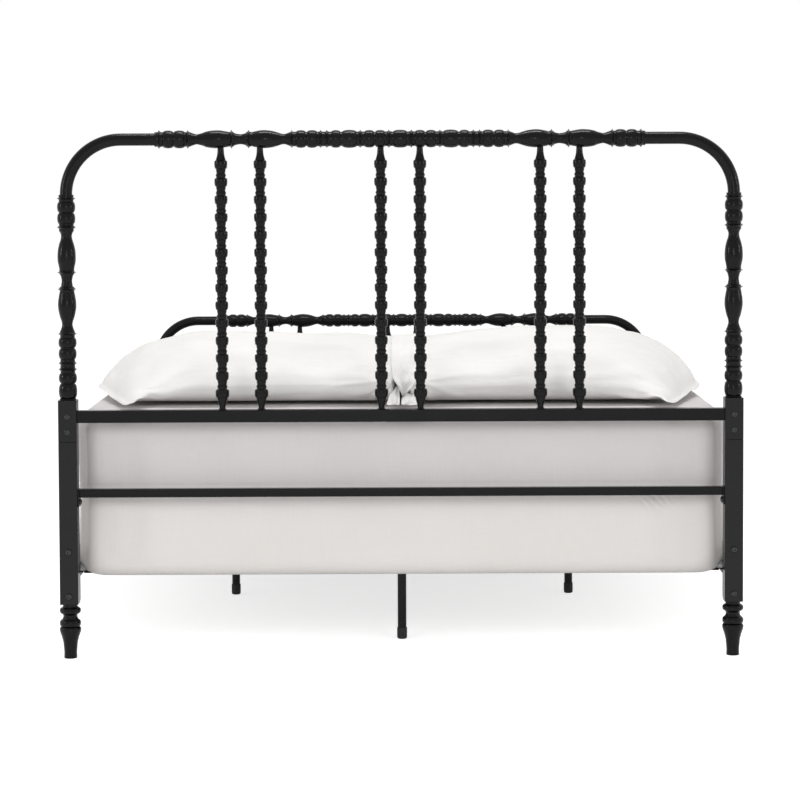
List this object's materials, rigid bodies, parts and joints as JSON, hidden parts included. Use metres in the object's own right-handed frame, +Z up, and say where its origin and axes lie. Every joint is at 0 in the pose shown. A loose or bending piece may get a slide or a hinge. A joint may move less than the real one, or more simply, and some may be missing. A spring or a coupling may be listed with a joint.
{
  "type": "spindle bed",
  "caption": "Full-size metal spindle bed: arched headboard and low footboard with turned beads, side rails, slats, support legs, a mattress and pillows.",
  "frame": {"origin": "on the floor under the middle of the bed", "axes": "+Z up, +Y from the headboard to the footboard, +X to the right seen from behind the headboard"},
  "size_m": [1.4142, 2.0102, 1.0878],
  "materials": {
    "frame_black": "satin powder coat",
    "bolt_black": "satin black",
    "cap_plastic": "matte",
    "mattress_cloth": "woven cover",
    "pillow_cloth": "woven cotton"
  },
  "bodies": {
    "bed_frame": {"foot_centre_casting": "frame_black", "foot_elbow_left": "frame_black", "foot_elbow_right": "frame_black", "foot_foot_left": "frame_black", "foot_foot_right": "frame_black", "foot_leg_left": "frame_black", "foot_leg_right": "frame_black", "foot_post_casting_left": "frame_black", "foot_post_casting_right": "frame_black", "foot_rail": "frame_black", "foot_side_casting_left": "frame_black", "foot_side_casting_right": "frame_black", "foot_spindle_1": "frame_black", "foot_spindle_2": "frame_black", "foot_spindle_3": "frame_black", "foot_spindle_4": "frame_black", "foot_spindle_5": "frame_black", "foot_spindle_6": "frame_black", "head_centre_casting": "frame_black", "head_elbow_left": "frame_black", "head_elbow_right": "frame_black", "head_foot_left": "frame_black", "head_foot_right": "frame_black", "head_leg_left": "frame_black", "head_leg_right": "frame_black", "head_leg_sleeves": "frame_black", "head_lower_rail": "frame_black", "head_post_casting_left": "frame_black", "head_post_casting_right": "frame_black", "head_side_casting_left": "frame_black", "head_side_casting_right": "frame_black", "head_spindle_1": "frame_black", "head_spindle_2": "frame_black", "head_spindle_3": "frame_black", "head_spindle_4": "frame_black", "head_spindle_5": "frame_black", "head_spindle_6": "frame_black", "head_stub_left": "frame_black", "head_stub_right": "frame_black", "head_upper_rail": "frame_black", "lower_rail_bolts": "bolt_black", "side_rail_bolts": "bolt_black", "side_rail_left": "frame_black", "side_rail_right": "frame_black", "slats_1": "frame_black", "slats_2": "frame_black", "slats_3": "frame_black", "slats_4": "frame_black", "stub_bolts": "bolt_black", "support_leg_1": "frame_black", "support_leg_2": "frame_black", "support_leg_3": "frame_black", "support_leg_4": "frame_black", "support_leg_5": "frame_black", "support_leg_6": "frame_black", "support_leg_caps": "cap_plastic"},
    "mattress": {"mattress": "mattress_cloth"},
    "left_pillow": {"pillow_left": "pillow_cloth"},
    "right_pillow": {"pillow_right": "pillow_cloth"}
  },
  "joints": [
    {"name": "mattress_lift", "type": "slide", "parent": "bed_frame", "child": "mattress", "axis": [0, 0, 1], "range_m": [0, 0.4]},
    {"name": "left_pillow_lift", "type": "slide", "parent": "mattress", "child": "left_pillow", "axis": [0, 0, 1], "range_m": [0, 0.3]},
    {"name": "right_pillow_lift", "type": "slide", "parent": "mattress", "child": "right_pillow", "axis": [0, 0, 1], "range_m": [0, 0.3]}
  ]
}
